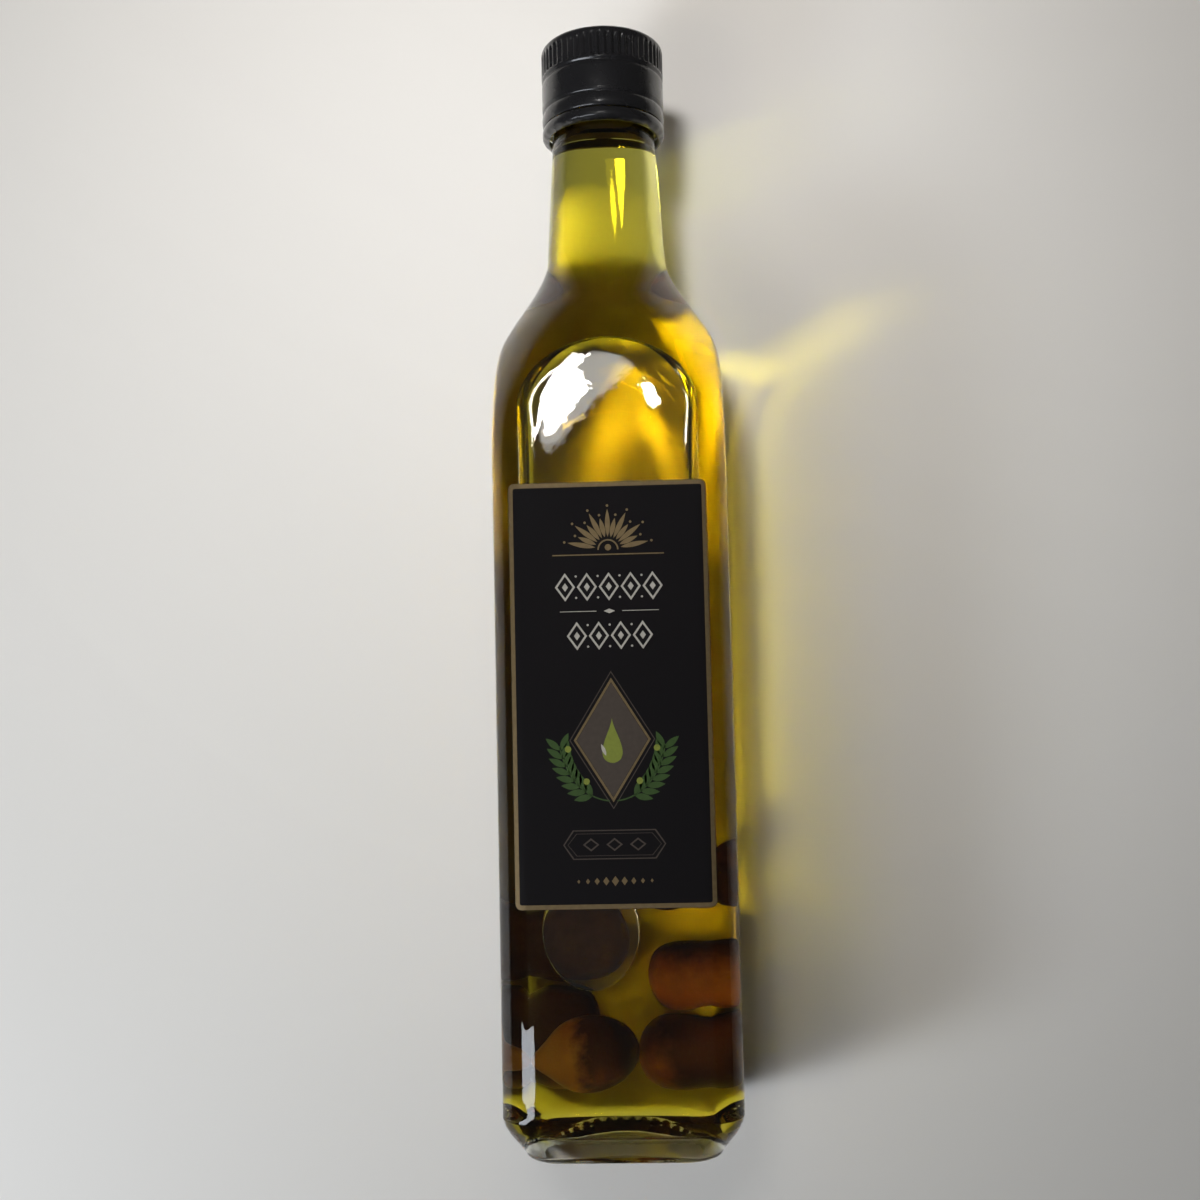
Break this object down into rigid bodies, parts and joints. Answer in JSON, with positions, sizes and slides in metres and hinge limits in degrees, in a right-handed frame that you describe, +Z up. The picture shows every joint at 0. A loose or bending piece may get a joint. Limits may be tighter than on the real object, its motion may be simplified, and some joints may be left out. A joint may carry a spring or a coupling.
{
  "type": "olive oil bottle",
  "caption": "Square clear glass bottle of golden olive oil with a domed shoulder, ribbed black screw cap and black front label, lying on its back.",
  "frame": {"origin": "centre of the bottle's footprint on the surface it lies on, halfway along its length", "axes": "+Y along the bottle towards its cap, +Z up through the front label, +X to the right with the label read upright"},
  "size_m": [0.0564, 0.275, 0.0571],
  "materials": {
    "clear_glass": "clear glass with a faint grey-green tint, glossy",
    "golden_oil": "clear golden-yellow liquid, glossy",
    "black_aluminium": "black lacquer, satin to semi-gloss",
    "black_paper": "printed label paper, black with gold edge, satin"
  },
  "bodies": {
    "root": {"glass_bottle": "clear_glass", "olive_oil": "golden_oil", "screw_cap": "black_aluminium", "tamper_band": "black_aluminium", "front_label": "black_paper"}
  },
  "joints": []
}
